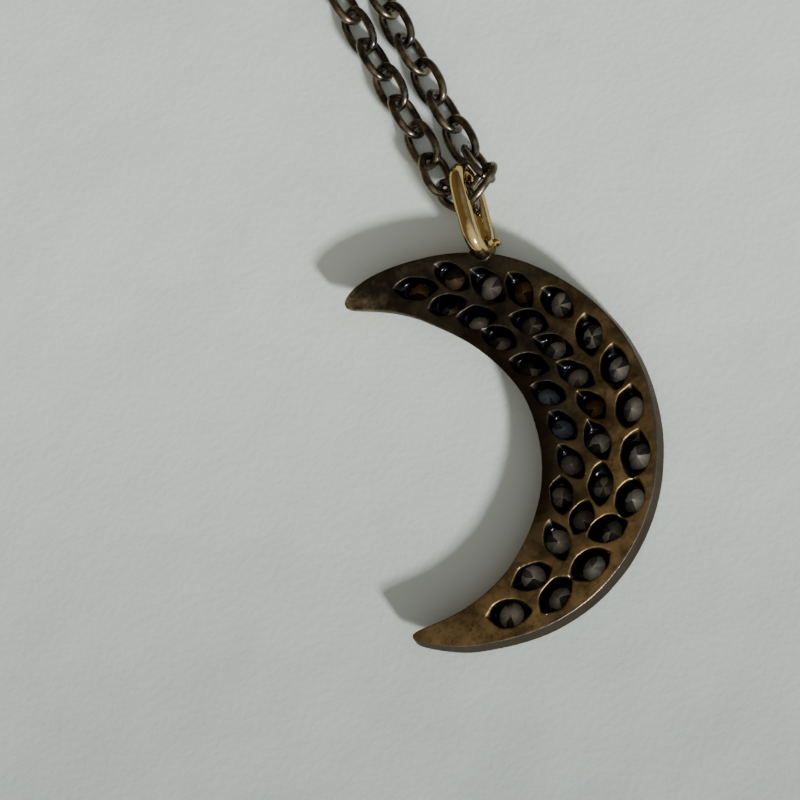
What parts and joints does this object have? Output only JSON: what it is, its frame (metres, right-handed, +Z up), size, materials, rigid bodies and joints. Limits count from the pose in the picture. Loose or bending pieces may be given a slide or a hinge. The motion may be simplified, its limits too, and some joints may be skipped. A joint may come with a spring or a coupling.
{
  "type": "crescent moon pendant necklace",
  "caption": "Crescent moon pendant set with small round stones, its back pierced with leaf-shaped openings, on a round oval bail and an oval cable chain.",
  "frame": {"origin": "the point of the surface it lies on, directly below the middle of the bail's opening", "axes": "+Y along the two strands, from the pendant towards the clasp; +Z up, out of the pendant's flat back; the pendant lies face down"},
  "size_m": [0.099, 0.1902, 0.0042],
  "materials": {
    "plate": "oxidised silver with a bronze tarnish, worn bright at the edges",
    "bail": "polished yellow gold",
    "chain": "oxidised silver with a faint bronze tint",
    "stone": "champagne-grey faceted stone"
  },
  "bodies": {
    "root": {"crescent": "plate", "chain": "chain", "clasp": "chain", "stone_01": "stone", "stone_02": "stone", "stone_03": "stone", "stone_04": "stone", "stone_05": "stone", "stone_06": "stone", "stone_07": "stone", "stone_08": "stone", "stone_09": "stone", "stone_10": "stone", "stone_11": "stone", "stone_12": "stone", "stone_13": "stone", "stone_14": "stone", "stone_15": "stone", "stone_16": "stone", "stone_17": "stone", "stone_18": "stone", "stone_19": "stone", "stone_20": "stone", "stone_21": "stone", "stone_22": "stone", "stone_23": "stone", "stone_24": "stone", "stone_25": "stone", "stone_26": "stone", "stone_27": "stone", "stone_28": "stone", "stone_29": "stone", "stone_30": "stone", "stone_31": "stone"}
  },
  "joints": []
}
